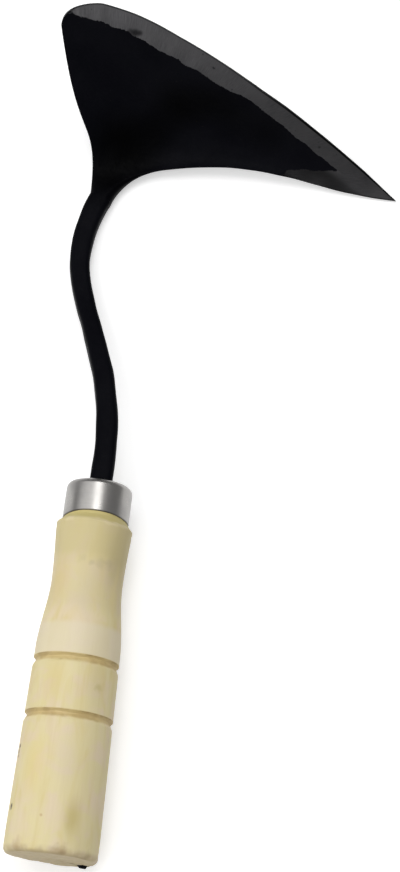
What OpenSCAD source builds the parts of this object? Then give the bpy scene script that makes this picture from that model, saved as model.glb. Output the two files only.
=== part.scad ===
// Hand hoe of the Korean kind, lying at rest on three points: butt, bend of the neck, tip of the blade.
// The handle's axis is Y with the butt face at the origin, the blade's tip is towards +X and its
// hollow, ground face looks up. All sizes are in millimetres and all angles in degrees.

/* [Handle] */
// Length of the wood that shows, from the butt face to the ferrule
grip_len = 124.4; // [122:0.2:136]
// Widest diameter, just in front of the butt face
butt_d = 33.6; // [31.6:0.2:37]
// Diameter behind the front groove, where the barrel ends
barrel_d = 31; // [29.5:0.1:31.5]
// Diameter of the hollow that the thumb and finger hold
waist_d = 26.2; // [25:0.1:27.5]
// Diameter of the swelling behind the ferrule
collar_d = 28.5; // [27.6:0.1:30]
// Rounding of the butt's rim
butt_round = 1.2; // [0.6:0.1:2.5]
// Distance from the butt face to the end of the barrel
barrel_end = 73.4; // [71.5:0.1:78]
// Distance from the butt face to the middle of the hollow
waist_at = 99.4; // [94:0.2:104]
// Distance from the butt face to the top of the swelling
collar_at = 120.2; // [114:0.2:121]

/* [Grooves] */
// Distance from the butt face to the middle of the rear groove
rear_groove_at = 48.7; // [40:0.1:56]
// Distance from the butt face to the middle of the front groove
front_groove_at = 68.9; // [64:0.1:70]
// Width of each turned groove
groove_w = 3.4; // [2:0.1:3.8]
// Depth of each turned groove
groove_deep = 0.9; // [0.5:0.1:1.4]

/* [Ferrule] */
// Outer diameter of the steel ferrule
ferrule_d = 24.6; // [24:0.1:25]
// Length of the ferrule
ferrule_len = 12.7; // [10:0.1:16]
// Wall of the ferrule
ferrule_wall = 1.2; // [0.8:0.1:1.6]
// Rounding of the ferrule's mouth, where its wall is rolled in towards the neck
mouth_round = 2.2; // [1.6:0.1:3]
// Gap between the ferrule and the wood that it is pressed on
ferrule_gap = 0.05; // [0.02:0.01:0.1]
// Gap between the end of the wood and the rolled mouth
wood_short = 0.1; // [0.05:0.05:1]

/* [Tang] */
// Thickness of the tang where it leaves the butt and is bent over
tang_end_d = 3.6; // [3:0.1:4.4]
// Thickness of the clinched end at its tip
tang_tip_d = 2.8; // [2.2:0.1:3]
// Distance from the handle's axis to the tip of the clinched end
clinch_reach = 15.2; // [10:0.1:15.4]
// Direction of the clinched end round the butt face, seen from behind and measured from +X downwards
clinch_angle = 38; // [0:1:90]
// Radius of the clinch's bend, along the middle of the tang
clinch_bend_r = 2.4; // [2.2:0.1:3]
// Gap between the tang and its burnt hole, and between the clinched end and its groove
tang_gap = 0.2; // [0.1:0.05:0.4]

/* [Neck] */
// Width and thickness of the neck at the ferrule
neck_d = 8.4; // [7.5:0.1:9]
// Width and thickness of the neck half way
neck_mid_d = 7.4; // [6.8:0.1:8.4]
// Width of the neck where it runs into the blade
root_w = 9.3; // [8:0.1:11]
// Thickness of the neck where it runs into the blade
root_thick = 7.6; // [6:0.1:9]
// Length of the neck, along its middle seen from the side
neck_len = 123.7; // [118:0.1:130]
// How far the neck swings away from the handle's axis, away from the tip
swing = 20.4; // [16:0.1:24]
// How far the root lies from the handle's axis, on the same side
root_off = 15.8; // [12:0.1:18]
// How far the middle of the neck sinks below the handle's axis
neck_drop = 13.1; // [11:0.1:16]
// Straight run of the neck in front of the ferrule
neck_lead = 8.5; // [5:0.5:14]
// Run of the neck over which it sinks
neck_run = 105; // [95:1:108]
// Radius of the bend between the neck and the blade, seen from the side
bend_r = 22; // [16:1:26]
// Slope of the blade against the handle's axis
blade_slope = 50; // [42:1:58]
// Turn of the head about the handle's axis that lays the tip on the ground
head_roll = 2.7; // [0:0.1:5]
// Direction in which the neck enters the blade, from the handle's axis towards the tip
root_heading = 23.5; // [15:0.5:35]

/* [Blade] */
// Reach of the tip from the handle's axis
tip_reach = 101.5; // [90:0.5:110]
// Height of the tip above the root, along the blade
tip_rise = 14.4; // [10:0.1:20]
// Reach of the heel from the handle's axis
heel_reach = 37.4; // [32:0.1:42]
// Height of the heel's side above the root, along the blade
heel_rise = 69.1; // [64:0.1:72]
// Height of the top of the blade above the root, along the blade
blade_rise = 80; // [77:0.1:86]
// Distance from the heel's side to the top of the blade
heel_corner = 14.6; // [10:0.1:17]
// Distance from the handle's axis to where the fillet ends and the lower edge begins
fillet_reach = 10; // [4:0.5:18]
// Height of the fillet's end above the tip, along the blade
fillet_rise = 1.3; // [0:0.1:3]
// Angle between the outer edge and the lower edge at the tip
tip_angle = 36; // [31:0.5:41]
// Depth of the hollow in the face
dish = 6; // [2:0.5:8]
// Thickness of the blade's plate
plate_thick = 2.6; // [2:0.1:3.4]
// Length over which the neck fades into the plate
spine_len = 34; // [24:1:45]

/* [Grinding] */
// Thickness left at the ground edge
edge_thick = 1.2; // [0.8:0.1:1.6]
// Width of the ground bevel in the middle of the outer edge
bevel_w = 8.5; // [5:0.5:10]
// Width of the ground bevel under the tip
tip_bevel_w = 6.6; // [3:0.2:8]

/* [Hidden] */

$fn = 96;
eps = 0.01;

// Steps of the lofted head: points across a section, and sections along each stretch
across = 20;
leg_steps = 3;
clinch_steps = 6;
tang_steps = 4;
neck_steps = 26;
neck_step = 0.01;
blade_steps = 20;
bevel_steps = 3;

// Shape of a section: squareness, from 2 for round to 14 for a plate, and bluntness of its sides
round_end = [2, 0.15];
square_bar = [4, 0.55];
flat_plate = [14, 0.6];

handle_len = grip_len + ferrule_len;
wood_end = handle_len - ferrule_wall - wood_short;
spigot_r = ferrule_d / 2 - ferrule_wall - ferrule_gap;
shoulder_r = ferrule_d / 2 + 0.1;
slot_deep = tang_end_d + 2 * tang_gap;
slot_w = tang_end_d + 2 * tang_gap;
clinch_y = tang_gap + tang_end_d / 2;

// The neck sinks along two equal arcs, one down and one up again
dip_angle = 2 * atan(neck_drop / neck_run);
dip_r = neck_run / (2 * sin(dip_angle));
dip_len = dip_r * dip_angle * PI / 180;
bend_len = bend_r * blade_slope * PI / 180;
flat_end = neck_len + 5;
slope_start = flat_end + bend_len;

// Directions on the blade's sheet are measured from the handle's axis towards the tip
function heading(angle) = [sin(angle), cos(angle)];
function across_heading(angle) = [cos(angle), -sin(angle)];

// The neck's middle line: it starts at the ferrule, turns back at its widest swing and ends at the root
neck_start = [0, neck_lead - 2];
neck_turn = [-swing, neck_len - 24];
root = [-root_off, neck_len];
root_left = root - root_w / 2 * across_heading(root_heading);
root_right = root + root_w / 2 * across_heading(root_heading);

// Corners of the blade on its sheet: across, and along from the ferrule
tip = [tip_reach, neck_len + tip_rise];
heel = [-heel_reach, neck_len + heel_rise];
crown = [-heel_reach + heel_corner, neck_len + blade_rise];
fillet_end = [fillet_reach, tip[1] + fillet_rise];

// Each curve leaves its first end and reaches its second on a heading, and holds it for a length
function curve(from, from_heading, from_hold, to, to_heading, to_hold) =
    [from, from + from_hold * heading(from_heading), to - to_hold * heading(to_heading), to];

lower_heading = 89;
fillet_heading = 76.5;
neck_back = curve(neck_start, 2.2, 43.6, neck_turn, 0, 25.4);
neck_front = curve(neck_turn, 0, 11.6, root, root_heading, 3.6);
left_side = curve(root_left, -1.3, 33.8, heel, -11.5, 49.7);
fillet = curve(root_right, 15.5, 15.3, fillet_end, fillet_heading, 2.9);
lower_edge = curve(fillet_end, fillet_heading, 42.3, tip, lower_heading, 37.8);
heel_curve = curve(heel, -11, 5.8, crown, 85, 10.1);
outer_edge = curve(crown, 100.2, 42.3, tip, lower_heading + tip_angle, 40.1);

// Shares at which a run of two curves passes from the first to the second
neck_split = 0.8;
fillet_split = 0.25;
heel_split = 0.1;

// Half the width over which the neck's spine fades out to its sides
spine_half_w = 0.8 * root_w;

// Share of the way from the root to the outer edge at which the bevel begins
edge_middle = bezier(outer_edge, 0.35);
bevel_from = 1 - bevel_w / norm(edge_middle - root);

function clamp01(v) = max(0, min(1, v));
function ease(v) = let (c = clamp01(v)) c * c * (3 - 2 * c);
function mix(a, b, t) = a + (b - a) * t;
function bezier(p, t) =
    let (r = 1 - t)
    r * r * r * p[0] + 3 * r * r * t * p[1] + 3 * r * t * t * p[2] + t * t * t * p[3];

// A point of two curves in a row, t = 0 to 1, that meet at the share split
function run(first, second, split, t) =
    t < split ? bezier(first, t / split) : bezier(second, (t - split) / (1 - split));

// Height of a section's skin above its middle, as a share of half its thickness, at c = -1 to 1 across
function skin(c, shape) = shape[1] + (1 - shape[1]) * pow(max(0, 1 - pow(abs(c), shape[0])), 1 / shape[0]);
function place(k) = -cos(180 * k / across);
function corner(shape) = max([for (k = [0 : across]) norm([place(k), skin(place(k), shape)])]);

// The side profile that the head is bent to: [along, height, angle] at a length s from the ferrule's mouth
function side_profile(s) =
    let (
        dip_mid = neck_lead + dip_len,
        dip_end = neck_lead + 2 * dip_len,
        base = handle_len + neck_lead + neck_run
    )
    s <= neck_lead ? [handle_len + s, 0, 0] :
    s <= dip_mid ? let (a = (s - neck_lead) / dip_len * dip_angle)
        [handle_len + neck_lead + dip_r * sin(a), -dip_r * (1 - cos(a)), -a] :
    s <= dip_end ? let (a = (dip_end - s) / dip_len * dip_angle)
        [base - dip_r * sin(a), -neck_drop + dip_r * (1 - cos(a)), -a] :
    s <= flat_end ? [base + s - dip_end, -neck_drop, 0] :
    let (
        a = min(blade_slope, (s - flat_end) / bend_len * blade_slope),
        straight = max(0, s - slope_start)
    )
    [
        base + flat_end - dip_end + bend_r * sin(a) + straight * cos(a),
        -neck_drop + bend_r * (1 - cos(a)) + straight * sin(a),
        a
    ];

// A point of the sheet, at p = [across, along] and a height h above it, in space
function on_sheet(p, h) =
    let (q = side_profile(p[1]))
    [p[0], q[0] - h * sin(q[2]), q[1] + h * cos(q[2])];

// Clinched end and tang: rings round a middle line that bends through a right angle
clinch_dir = [cos(clinch_angle - head_roll), 0, -sin(clinch_angle - head_roll)];
clinch_side = [-clinch_dir[2], 0, clinch_dir[0]];

function bar_ring(mid, right, up, size, shape) = concat(
    [for (k = [0 : across]) let (c = place(k))
        mid + right * c * size / 2 + up * skin(c, shape) * size / 2],
    [for (k = [across : -1 : 0]) let (c = place(k))
        mid + right * c * size / 2 - up * skin(c, shape) * size / 2]
);

function clinch_ring(mid, turn, size) =
    let (out = clinch_dir * cos(turn) + [0, sin(turn), 0])
    bar_ring(
        mid,
        clinch_dir[0] * out - clinch_dir[2] * clinch_side,
        clinch_dir[2] * out + clinch_dir[0] * clinch_side,
        size,
        round_end
    );

leg_rings = [
    for (i = [0 : leg_steps - 1])
        let (t = i / leg_steps)
        clinch_ring(
            clinch_dir * mix(clinch_reach, clinch_bend_r, t) + [0, clinch_y, 0],
            90,
            mix(tang_tip_d, tang_end_d, t)
        )
];

clinch_rings = [
    for (i = [0 : clinch_steps])
        let (turn = 90 - 90 * i / clinch_steps, out = clinch_dir * cos(turn) + [0, sin(turn), 0])
        clinch_ring(clinch_dir * clinch_bend_r + [0, clinch_y + clinch_bend_r, 0] - out * clinch_bend_r,
            turn, tang_end_d)
];

tang_rings = [
    for (i = [1 : tang_steps])
        let (t = i / tang_steps)
        bar_ring(
            [0, mix(clinch_y + clinch_bend_r, handle_len, t), 0],
            [1, 0, 0],
            [0, 0, 1],
            mix(tang_end_d, neck_d, t),
            mix(round_end, square_bar, t)
        )
];

// Neck: rings across its middle line on the sheet
function neck_mid(s) = run(neck_back, neck_front, neck_split, s);
function neck_width(s) =
    s < 0.5 ? mix(neck_d, neck_mid_d, ease(2 * s)) : mix(neck_mid_d, root_w, pow(2 * s - 1, 2));
function neck_depth(s) =
    s < 0.5 ? neck_width(s) : mix(neck_mid_d, root_thick, ease(2 * s - 1));

// A ring of points over a row of the sheet and back under it, at the heights given for each
function sheet_ring(row, above, below) = concat(
    [for (k = [0 : across]) on_sheet(row[k], above[k])],
    [for (k = [across : -1 : 0]) on_sheet(row[k], below[k])]
);

neck_rings = [
    for (i = [0 : neck_steps - 1])
        let (
            s = i / neck_steps,
            mid = neck_mid(s),
            ahead = neck_mid(s + neck_step) - mid,
            right = [ahead[1], -ahead[0]] / norm(ahead),
            half_w = neck_width(s) / 2,
            half_h = neck_depth(s) / 2
        )
        sheet_ring(
            [for (k = [0 : across]) mid + right * place(k) * half_w],
            [for (k = [0 : across]) half_h * skin(place(k), square_bar)],
            [for (k = [0 : across]) -half_h * skin(place(k), square_bar)]
        )
];

// Blade: a patch between the root, the left side, the lower edge and the ground outer edge
function left_at(t) = bezier(left_side, t);
function lower_at(t) = run(fillet, lower_edge, fillet_split, t);
function outer_at(u) = run(heel_curve, outer_edge, heel_split, u);

function blade_point(u, t) = mix(left_at(t), lower_at(t), u) + t * (outer_at(u) - mix(heel, tip, u));

// Thickness that the neck still adds at a point of the blade, as a spine that fades out
function spine(p) =
    let (
        d = p - root,
        along = d * heading(root_heading),
        beside = d * across_heading(root_heading)
    )
    (root_thick - plate_thick) * (1 - ease(along / spine_len)) / (1 + pow(beside / spine_half_w, 4));

// Steel ground off the face: a bevel that widens from the heel and runs along the outer edge, and one
// under the tip that fades out along the lower edge
heel_share = 0.1;
row_angle = 30;
under_from = 0.55;
under_full = 0.8;
function ground(u, t) =
    let (
        rim = clamp01((t - bevel_from) / (1 - bevel_from)) * ease(u / heel_share),
        off_edge = (1 - u) * norm(left_at(t) - lower_at(t)) * sin(row_angle),
        under = clamp01(1 - off_edge / tip_bevel_w) * ease((t - under_from) / (under_full - under_from))
    )
    (plate_thick - edge_thick) * max(rim, under);

// Share of the way from the root to the outer edge at which a ring of the blade lies
function blade_t(i) =
    i <= blade_steps ? bevel_from * i / blade_steps :
    mix(bevel_from, 1, (i - blade_steps) / bevel_steps);

plate_from = 0.3;
function blade_ring(t) =
    let (
        shape = mix(square_bar, flat_plate, ease(t / plate_from)),
        u = [for (k = [0 : across]) (1 + place(k)) / 2],
        row = [for (v = u) blade_point(v, t)],
        hollow = [for (v = u) -dish * 4 * v * (1 - v) * sin(180 * t)],
        share = [for (k = [0 : across]) skin(place(k), shape)],
        half = [for (k = [0 : across]) share[k] * (plate_thick + spine(row[k])) / 2]
    )
    sheet_ring(
        row,
        [for (k = [0 : across]) hollow[k] + half[k] - share[k] * ground(u[k], t)],
        hollow - half
    );

blade_rings = [for (i = [0 : blade_steps + bevel_steps]) blade_ring(blade_t(i))];

// Joins rings of equal size into a closed solid; the first and last ring are closed by strips
module loft(rings) {
    n = len(rings[0]);
    half = n / 2;
    last = (len(rings) - 1) * n;
    skin_faces = [
        for (i = [0 : len(rings) - 2])
            for (k = [0 : n - 1])
                let (a = i * n + k, b = i * n + (k + 1) % n)
                for (face = [[a, a + n, b + n], [a, b + n, b]]) face
    ];
    first_cap = [
        for (k = [0 : half - 2])
            for (face = [[k, k + 1, n - 2 - k], [k, n - 2 - k, n - 1 - k]]) face
    ];
    last_cap = [
        for (k = [0 : half - 2])
            for (face = [[k, n - 2 - k, k + 1], [k, n - 1 - k, n - 2 - k]]) [for (v = face) last + v]
    ];
    polyhedron(
        points = [for (ring = rings) for (p = ring) p],
        faces = concat(skin_faces, first_cap, last_cap)
    );
}

// Turned outline of the wood, as [radius, distance from the butt face]
taper_from = 8;
function barrel_r(y) =
    mix(butt_d, barrel_d, pow(clamp01((y - taper_from) / (barrel_end - taper_from)), 1.15)) / 2;
function grip_r(y) =
    y < barrel_end ? barrel_r(y) :
    y < waist_at ? mix(barrel_d, waist_d, ease((y - barrel_end) / (waist_at - barrel_end))) / 2 :
    y < collar_at ? mix(waist_d, collar_d, pow((y - waist_at) / (collar_at - waist_at), 1.6)) / 2 :
    mix(collar_d / 2, shoulder_r, pow((y - collar_at) / (grip_len - collar_at), 1.4));

// A groove slopes down from the butt's side and ends in a steep wall, as the corner of a chisel cuts it
function groove_points(y) = [
    [grip_r(y - groove_w / 2), y - groove_w / 2],
    [grip_r(y) - groove_deep, y + groove_w / 6],
    [grip_r(y) - groove_deep, y + groove_w / 3],
    [grip_r(y + groove_w / 2), y + groove_w / 2]
];

function run_points(from, to, steps) = [
    for (i = [0 : steps]) let (y = mix(from, to, i / steps)) [grip_r(y), y]
];

module wood_outline() {
    polygon(concat(
        [[0, 0]],
        [for (a = [0 : 15 : 90]) [butt_d / 2 - butt_round * (1 - sin(a)), butt_round * (1 - cos(a))]],
        run_points(taper_from, rear_groove_at - groove_w, 3),
        groove_points(rear_groove_at),
        run_points(rear_groove_at + groove_w, front_groove_at - groove_w, 2),
        groove_points(front_groove_at),
        run_points(barrel_end, waist_at, 8),
        run_points(waist_at + 2, collar_at, 6),
        run_points(collar_at + 0.6, grip_len, 5),
        [[spigot_r, grip_len], [spigot_r, wood_end - mouth_round / 2],
            [spigot_r - mouth_round / 2, wood_end], [0, wood_end]]
    ));
}

// Turns an outline of [radius, distance] about the handle's axis
module turned() {
    rotate([-90, 0, 0]) rotate_extrude() children();
}

// Turned handle, burnt through for the tang and slotted across the butt for its clinched end
module handle() {
    color([0.88, 0.81, 0.63])
    difference() {
        turned() wood_outline();
        translate([0, -eps, 0]) rotate([-90, 0, 0])
            cylinder(
                h = handle_len + 2 * eps,
                r1 = corner(round_end) * tang_end_d / 2 + tang_gap,
                r2 = corner(square_bar) * neck_d / 2 + tang_gap
            );
        rotate([0, clinch_angle, 0]) {
            translate([0, -eps, -slot_w / 2]) cube([butt_d, slot_deep + eps, slot_w]);
            translate([0, -eps, 0]) rotate([-90, 0, 0]) cylinder(h = slot_deep + eps, d = slot_w);
        }
    }
}

// Steel ferrule, a tube pressed over the end of the wood, with its mouth rolled in
module ferrule() {
    inner = ferrule_d / 2 - ferrule_wall;
    roll_inner = mouth_round - ferrule_wall;
    roll_start = ferrule_len - mouth_round;
    color([0.75, 0.75, 0.74])
    turned() translate([0, grip_len]) polygon(concat(
        [[inner, 0], [ferrule_d / 2, 0]],
        [for (a = [0 : 10 : 90])
            [ferrule_d / 2 - mouth_round + mouth_round * cos(a), roll_start + mouth_round * sin(a)]],
        [[inner - roll_inner, ferrule_len - ferrule_wall]],
        [for (a = [75 : -15 : 0])
            [inner - roll_inner + roll_inner * cos(a), roll_start + roll_inner * sin(a)]]
    ));
}

// Forged head: clinched end, tang, neck and blade drawn out of one bar
module forged_head() {
    color([0.09, 0.09, 0.11])
    rotate([0, head_roll, 0])
        loft(concat(leg_rings, clinch_rings, tang_rings, neck_rings, blade_rings));
}

handle();
ferrule();
forged_head();
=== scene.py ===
# Looks of the hand hoe: the forged head, the steel ferrule and the turned handle, built over the packed
# model in its own frame. Lengths are in millimetres, as in the part's source, and meshes are in metres.
import math

import bpy
import numpy as np
from mathutils import Matrix, Vector


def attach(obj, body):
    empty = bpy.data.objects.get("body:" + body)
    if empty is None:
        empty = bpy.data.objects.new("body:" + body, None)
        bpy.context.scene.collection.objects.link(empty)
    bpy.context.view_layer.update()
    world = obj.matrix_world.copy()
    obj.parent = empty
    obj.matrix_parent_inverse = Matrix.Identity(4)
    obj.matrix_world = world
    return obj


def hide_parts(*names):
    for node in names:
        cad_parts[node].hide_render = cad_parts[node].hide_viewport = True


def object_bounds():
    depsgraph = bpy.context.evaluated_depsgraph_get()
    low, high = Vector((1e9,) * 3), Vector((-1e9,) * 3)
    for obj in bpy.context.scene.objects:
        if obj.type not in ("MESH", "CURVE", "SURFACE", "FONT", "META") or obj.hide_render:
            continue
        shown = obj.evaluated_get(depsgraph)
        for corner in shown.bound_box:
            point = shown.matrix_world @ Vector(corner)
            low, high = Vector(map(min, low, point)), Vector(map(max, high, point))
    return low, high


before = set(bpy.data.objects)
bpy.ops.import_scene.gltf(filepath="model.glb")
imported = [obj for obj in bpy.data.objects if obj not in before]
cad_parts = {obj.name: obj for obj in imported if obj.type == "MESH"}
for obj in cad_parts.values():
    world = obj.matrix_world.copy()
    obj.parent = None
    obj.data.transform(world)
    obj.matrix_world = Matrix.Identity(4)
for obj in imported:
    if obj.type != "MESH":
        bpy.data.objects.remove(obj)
cad_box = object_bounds()

MM = 0.001

# Handle, from the butt face at 0 to the ferrule. Its whittled shoulder runs from COLLAR_AT to SHOULDER_AT.
GRIP_LEN = 124.4
BUTT_D = 33.6
BARREL_D = 31
WAIST_D = 26.2
COLLAR_D = 28.5
BUTT_ROUND = 1.8
FACE_AT = 0.1
TAPER_FROM = 8
BARREL_END = 73.4
WAIST_AT = 99.4
COLLAR_AT = 120.2
SHOULDER_AT = 123.3
BARREL_POWER = 1.15
SWELLING_POWER = 1.6
HANDLE_AROUND = 176
GROOVES_AT = (48.7, 68.9)
GROOVE_W = 3.4
GROOVE_DEEP = 0.9

# Working marks of the wood: the whittled shoulder with a lip along its corner, and the grooves' edges
OUT_OF_ROUND = 0.07
FLATS_DEEP = 0.26
CORNER_OUT = 0.65
LIP_OUT = 0.22
GROOVE_WANDER = 0.5

# Wear of the butt, and its bulge beside the clinched end, with the directions in which they are strongest
WORN_LEN = 4.5
RIM_WORN = 0.12
FACE_WORN = 0.10
LUMPS_DEEP = 0.25
LOW_LEFT_WORN = 0.25
LOW_LEFT = np.array([-0.64, 0, -0.77])
BULGE_LEN = 9
BULGE_OUT = 1.1
BULGE_PROUD = 0.5
CLINCH_SIDE = np.array([0.57, 0, -0.82])

# Ferrule, whose rear edge droops at the sides, and the wood under it
FERRULE_D = 24.6
FERRULE_LEN = 12.7
FERRULE_WALL = 1.2
FERRULE_GAP = 0.05
MOUTH_ROUND = 2.2
RIM_ROUND = 0.3
RIM_DROOP = 1.2
LONG_DENT = 0.10
SHORT_DENT = 0.06
FERRULE_AROUND = 160
HANDLE_LEN = GRIP_LEN + FERRULE_LEN
SPIGOT_R = FERRULE_D / 2 - FERRULE_WALL - FERRULE_GAP
SPIGOT_CHAMFER = 1.1
SHOULDER_R = FERRULE_D / 2 - 0.25
WOOD_END = HANDLE_LEN - FERRULE_WALL - 0.1

# Tang and clinched end: its tip stands proud of the butt, and behind the tip it dips under the wood
TANG_END_D = 3.6
TANG_TIP_D = 2.8
CLINCH_REACH = 15.2
CLINCH_ANGLE = 38
CLINCH_BEND_R = 2.4
CLINCH_PROUD = 1.1
CLINCH_DIP = 2.8

# Cuts in the butt along the clinched end: start, end, width, depth and shift towards its upper side
CRACK = (-0.6, 13.0, 0.35, 1.9, 0)
POCKET = (11.8, 16.0, 4.6, 3.0, 0.9)

# Neck, bend and blade
NECK_D = 8.4
NECK_MID_D = 7.4
ROOT_W = 9.3
ROOT_THICK = 7.6
BAR_SQUARENESS = 3.4
BAR_BLUNT = 0.12
NECK_LEN = 123.7
SWING = 20.4
ROOT_OFF = 15.8
NECK_DROP = 13.1
NECK_LEAD = 8.5
NECK_RUN = 105
BEND_PAST_ROOT = 5
BEND_R = 22
BLADE_SLOPE = 50
HEAD_ROLL = 2.7
ROOT_HEADING = 23.5
TIP_REACH = 101.5
TIP_RISE = 14.4
HEEL_REACH = 37.4
HEEL_RISE = 69.1
BLADE_RISE = 80
HEEL_CORNER = 14.6
FILLET_REACH = 10
FILLET_RISE = 1.3
TIP_ANGLE = 36
DISH = 6
PLATE_THICK = 2.6
SPINE_LEN = 34
SPINE_SPREAD = 0.8 * ROOT_W
ROOT_SIDE_ROUND = 3.2
SIDE_ROUND = 1.1
SIDE_FLAT = 0.22
LEAST_LEFT = 0.3

# Cutting edge: its thickness and the dark line along it, at the heel and at the tip, and how blunt it is
THIN_EDGE = 0.5
THICK_EDGE = 1.2
THIN_LINE = 0.5
THICK_LINE = 0.85
LINE_SHARE = 0.3
EDGE_BLUNT = 0.25
UNDER_BLUNT = 0.05

# Hammer dints of the head
DINT_LEN = 13
DINT_DEEP = 0.16
DINT_SEED = 5

# Size of the blade as its grain is counted, across from heel to tip and along from root to edge
GRAIN_ACROSS = 110
GRAIN_ALONG = 80


def mix(a, b, t):
    return a + (b - a) * t


def ease(v):
    c = np.clip(v, 0, 1)
    return c * c * (3 - 2 * c)


def waves(points, length, seed):
    """Smooth swells about length millimetres long, from -1 to 1, the same on each run."""
    random = np.random.default_rng(seed)
    total = np.zeros(points.shape[:-1])
    for _ in range(9):
        direction = random.normal(size=3)
        direction *= 2 * math.pi / (np.linalg.norm(direction) * length * random.uniform(0.7, 1.5))
        total += np.sin(points @ direction + random.uniform(0, 2 * math.pi))
    return total / 4


def heading(degrees):
    return np.array([math.sin(math.radians(degrees)), math.cos(math.radians(degrees))])


def across_heading(degrees):
    return np.array([math.cos(math.radians(degrees)), -math.sin(math.radians(degrees))])


def curve(start, start_heading, start_hold, end, end_heading, end_hold):
    """A curve that leaves start and reaches end on a heading, and holds it for a length."""
    return [start, start + start_hold * heading(start_heading), end - end_hold * heading(end_heading), end]


def bezier(points, t):
    t = np.asarray(t, float)[..., None]
    r = 1 - t
    return r**3 * points[0] + 3 * r * r * t * points[1] + 3 * r * t * t * points[2] + t**3 * points[3]


def between(share, table):
    """The value at a share of the way, read from pairs of a share and a value."""
    return np.interp(share, *zip(*table))


def run(first, second, split, t):
    """A point of two curves in a row, which meet at the share split."""
    t = np.asarray(t, float)
    before = bezier(first, np.minimum(t / split, 1))
    after = bezier(second, np.maximum((t - split) / (1 - split), 0))
    return np.where((t < split)[..., None], before, after)


# Plan of the head on its bent sheet: points as across and along, headings in degrees from straight ahead
neck_start = np.array([0, NECK_LEAD - 2])
neck_turn = np.array([-SWING, NECK_LEN - 24])
root = np.array([-ROOT_OFF, NECK_LEN])
root_left = root - ROOT_W / 2 * across_heading(ROOT_HEADING)
root_right = root + ROOT_W / 2 * across_heading(ROOT_HEADING)
tip = np.array([TIP_REACH, NECK_LEN + TIP_RISE])
heel = np.array([-HEEL_REACH, NECK_LEN + HEEL_RISE])
crown = np.array([-HEEL_REACH + HEEL_CORNER, NECK_LEN + BLADE_RISE])
fillet_end = np.array([FILLET_REACH, tip[1] + FILLET_RISE])

lower_heading = 89
fillet_heading = 76.5
neck_back = curve(neck_start, 2.2, 43.6, neck_turn, 0, 25.4)
neck_front = curve(neck_turn, 0, 11.6, root, ROOT_HEADING, 3.6)
left_side = curve(root_left, -1.3, 33.8, heel, -11.5, 49.7)
fillet = curve(root_right, 15.5, 15.3, fillet_end, fillet_heading, 2.9)
lower_edge = curve(fillet_end, fillet_heading, 42.3, tip, lower_heading, 37.8)
heel_curve = curve(heel, -11, 5.8, crown, 85, 10.1)
outer_edge = curve(crown, 100.2, 42.3, tip, lower_heading + TIP_ANGLE, 40.1)


# Shares of the neck, the lower side and the outer side at which their second curve begins
NECK_SPLIT = 0.8
FILLET_SPLIT = 0.25
HEEL_SPLIT = 0.1


def neck_middle(s):
    return run(neck_back, neck_front, NECK_SPLIT, s)


def lower_side(t):
    return run(fillet, lower_edge, FILLET_SPLIT, t)


def outer_side(u):
    return run(heel_curve, outer_edge, HEEL_SPLIT, u)


def side_profile(s):
    """The side profile that the head is bent to: along, height and angle at a length s from the ferrule."""
    dip = 2 * math.atan(NECK_DROP / NECK_RUN)
    dip_r = NECK_RUN / (2 * math.sin(dip))
    dip_len = dip_r * dip
    slope = math.radians(BLADE_SLOPE)
    dip_mid = NECK_LEAD + dip_len
    dip_end = NECK_LEAD + 2 * dip_len
    flat_end = NECK_LEN + BEND_PAST_ROOT
    base = HANDLE_LEN + NECK_LEAD + NECK_RUN
    down = np.clip((s - NECK_LEAD) / dip_r, 0, dip)
    up = np.clip((dip_end - s) / dip_r, 0, dip)
    bend = np.clip((s - flat_end) / BEND_R, 0, slope)
    straight = np.maximum(s - flat_end - BEND_R * slope, 0)
    parts = [s <= NECK_LEAD, s <= dip_mid, s <= dip_end, s <= flat_end]
    along = np.select(parts, [
        HANDLE_LEN + s,
        HANDLE_LEN + NECK_LEAD + dip_r * np.sin(down),
        base - dip_r * np.sin(up),
        base + s - dip_end,
    ], base + flat_end - dip_end + BEND_R * np.sin(bend) + straight * math.cos(slope))
    height = np.select(parts, [
        0 * s,
        -dip_r * (1 - np.cos(down)),
        dip_r * (1 - np.cos(up)) - NECK_DROP,
        0 * s - NECK_DROP,
    ], BEND_R * (1 - np.cos(bend)) + straight * math.sin(slope) - NECK_DROP)
    angle = np.select(parts, [0 * s, -down, -up, 0 * s], bend)
    return along, height, angle


def on_sheet(p, h):
    """Points of the bent sheet, at p = across and along, and a height h above it, in space."""
    along, height, angle = side_profile(p[..., 1])
    return np.stack([p[..., 0], along - h * np.sin(angle), height + h * np.cos(angle)], axis=-1)


def rolled(points):
    """Turns the head about the handle's axis until the tip lies on the ground."""
    c, s = math.cos(math.radians(HEAD_ROLL)), math.sin(math.radians(HEAD_ROLL))
    x, y, z = points[..., 0], points[..., 1], points[..., 2]
    return np.stack([x * c + z * s, y, z * c - x * s], axis=-1)


# A section runs over its top from left to right, down its right side, back underneath and up its left. It has
# a value across (section_c), a height (section_up) and a share of the way from left to right (section_u).
ACROSS = 120
WALL = 6
NECK_ROWS = 170
place = -np.cos(math.pi * np.arange(ACROSS + 1) / ACROSS)
wall = np.linspace(1, -1, WALL + 1)[1:-1]
section_c = np.concatenate([place, np.ones(WALL - 1), place[::-1], -np.ones(WALL - 1)])
section_up = np.concatenate([np.ones(ACROSS + 1), wall, -np.ones(ACROSS + 1), -wall])
section_u = (1 + section_c) / 2
face_up = section_up > 0.9


def bar_skin(squareness):
    """Height of a bar's skin at each point of a section, as a share of half its thickness."""
    arch = np.maximum(0, 1 - np.abs(section_c) ** squareness) ** (1 / squareness)
    return (BAR_BLUNT + (1 - BAR_BLUNT) * arch) * section_up


def bar_ring(middle, right, up, size, squareness):
    skin = bar_skin(squareness)
    return middle + (section_c[:, None] * right + skin[:, None] * up) * size / 2


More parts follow.
